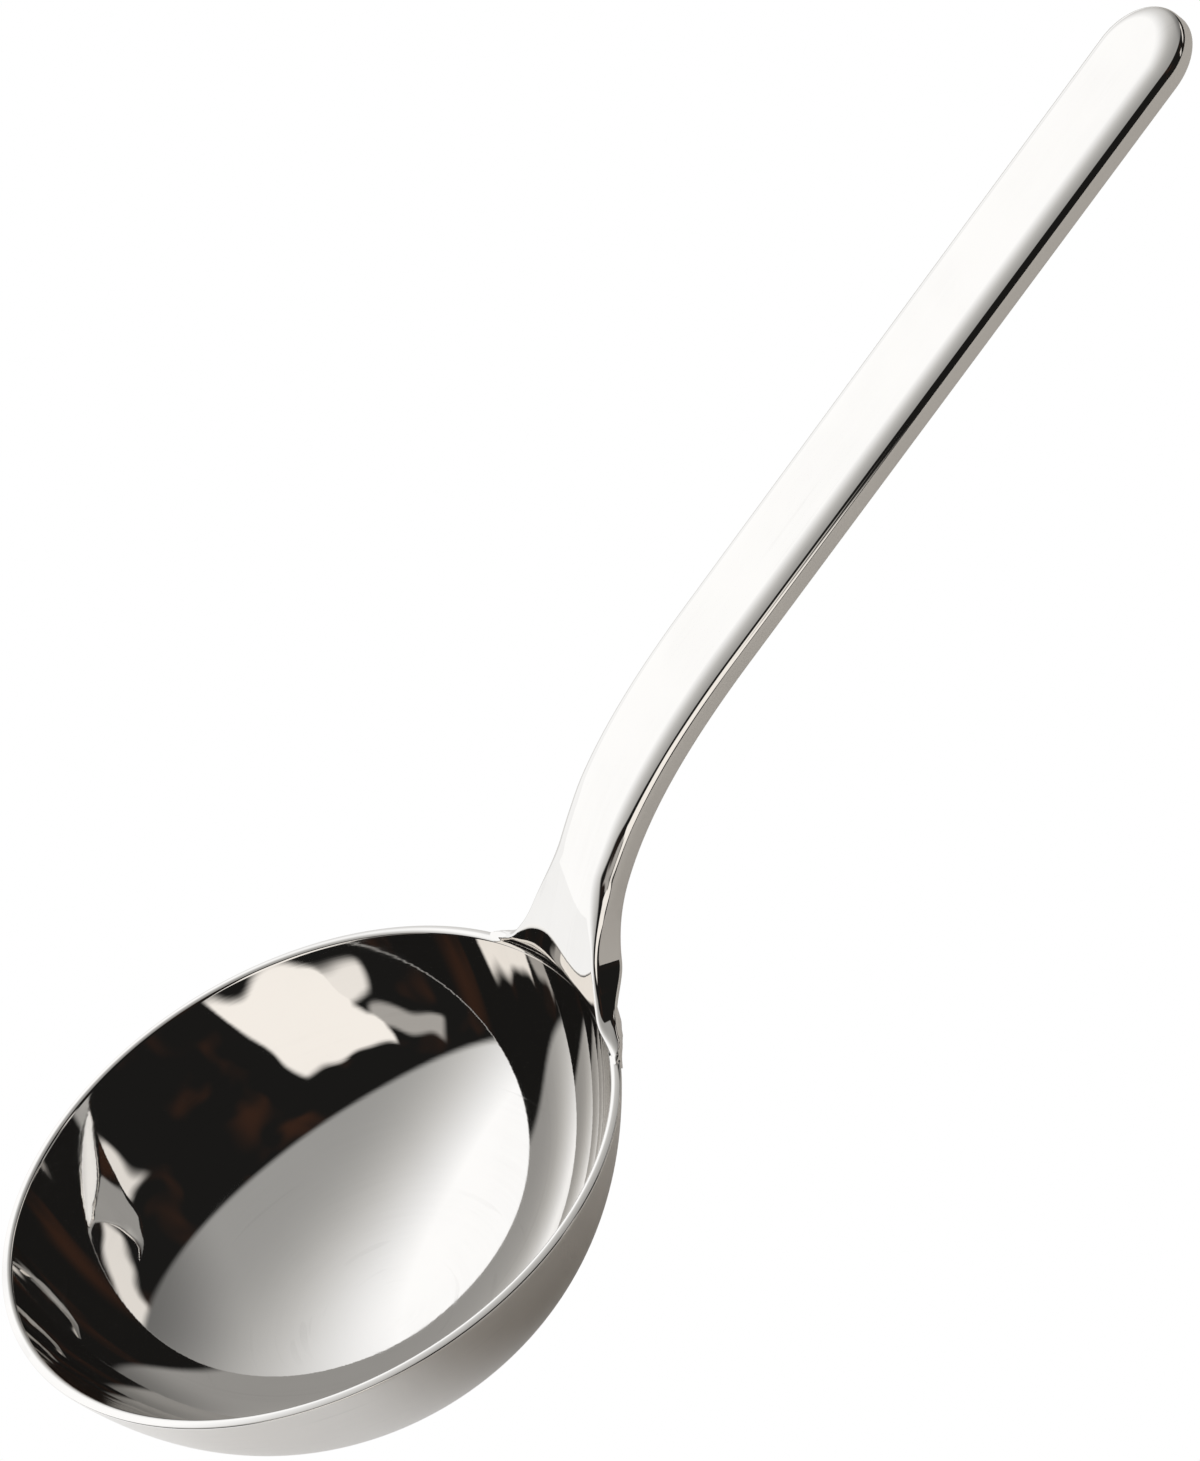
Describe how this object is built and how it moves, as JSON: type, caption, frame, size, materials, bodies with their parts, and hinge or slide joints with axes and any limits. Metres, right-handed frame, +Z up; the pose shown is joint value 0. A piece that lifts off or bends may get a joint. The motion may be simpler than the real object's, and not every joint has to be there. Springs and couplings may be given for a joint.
{
  "type": "ladle",
  "caption": "Polished steel serving ladle: a deep round-bottomed bowl with a rounded rim, welded to a flat bar handle with a bent neck and a round tip.",
  "frame": {"origin": "lowest point of the bowl's outside, on the bowl's axis", "axes": "+Z up along the bowl's axis with the rim level, +X from the bowl towards the handle's tip, XZ the plane of symmetry"},
  "size_m": [0.2201, 0.09, 0.1118],
  "materials": {
    "bowl_steel": "mirror polished stainless steel",
    "handle_steel": "mirror polished stainless steel",
    "weld_steel": "weld metal ground flush and polished"
  },
  "bodies": {
    "root": {"bowl": "bowl_steel", "handle": "handle_steel", "seam_weld": "weld_steel", "fillet_weld": "weld_steel"}
  },
  "joints": []
}
